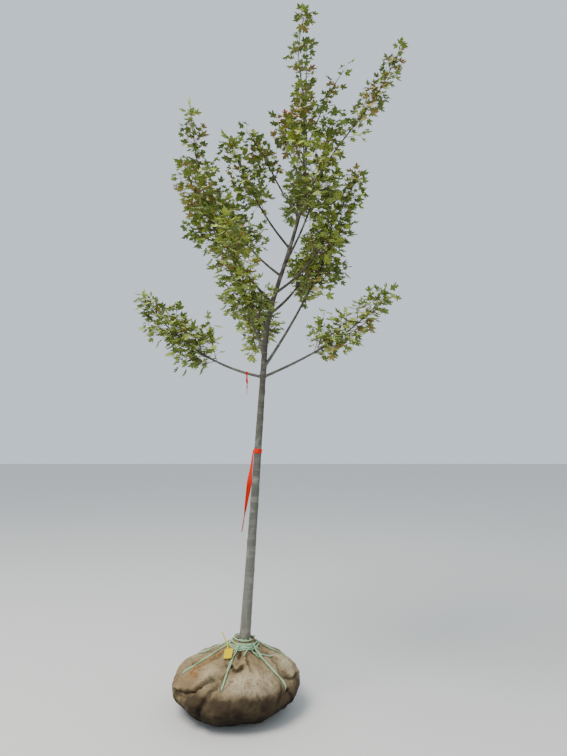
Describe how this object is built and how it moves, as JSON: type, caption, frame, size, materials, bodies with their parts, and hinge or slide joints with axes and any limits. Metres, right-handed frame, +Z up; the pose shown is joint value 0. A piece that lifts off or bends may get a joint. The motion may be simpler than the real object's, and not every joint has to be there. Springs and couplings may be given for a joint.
{
  "type": "sapling with root ball",
  "caption": "Young maple with a slender leaning trunk and an open upright crown, dug and wrapped in a burlap root ball laced with twine, carrying a blank tag and field ribbons.",
  "frame": {"origin": "middle of the flat underside of the root ball, on the ground", "axes": "+Z up along the tree, +X to the right and -Y towards the viewer in the picture"},
  "size_m": [1.7737, 1.4995, 4.278],
  "materials": {
    "burlap": "matte",
    "twine": "satin",
    "tag_plastic": "satin",
    "bark": "matte",
    "tape": "satin",
    "young_bark": "matte",
    "leaves": "satin"
  },
  "bodies": {
    "root": {"root_ball": "burlap", "twine": "twine", "tag": "tag_plastic", "trunk": "bark", "ribbon_trunk": "tape", "ribbon_bough": "tape", "bough_low_left": "young_bark", "bough_low_right": "young_bark", "bough_right": "young_bark", "bough_low_back": "young_bark", "bough_low_front": "young_bark", "bough_left_tall": "young_bark", "bough_back_right": "young_bark", "bough_front_left": "young_bark", "bough_right_inner": "young_bark", "bough_back_left": "young_bark", "bough_front_right": "young_bark", "bough_left_inner": "young_bark", "bough_back_high": "young_bark", "bough_left_high": "young_bark", "bough_right_high": "young_bark", "bough_front_high": "young_bark", "bough_left_top": "young_bark", "bough_back_top": "young_bark", "bough_right_top": "young_bark", "bough_twin_leader": "young_bark", "foliage_low_left": "leaves", "foliage_low_right": "leaves", "foliage_right": "leaves", "foliage_low_back": "leaves", "foliage_low_front": "leaves", "foliage_left_tall": "leaves", "foliage_back_right": "leaves", "foliage_front_left": "leaves", "foliage_right_inner": "leaves", "foliage_back_left": "leaves", "foliage_front_right": "leaves", "foliage_left_inner": "leaves", "foliage_back_high": "leaves", "foliage_left_high": "leaves", "foliage_right_high": "leaves", "foliage_front_high": "leaves", "foliage_left_top": "leaves", "foliage_back_top": "leaves", "foliage_right_top": "leaves", "foliage_twin_leader": "leaves", "foliage_leader": "leaves"}
  },
  "joints": []
}
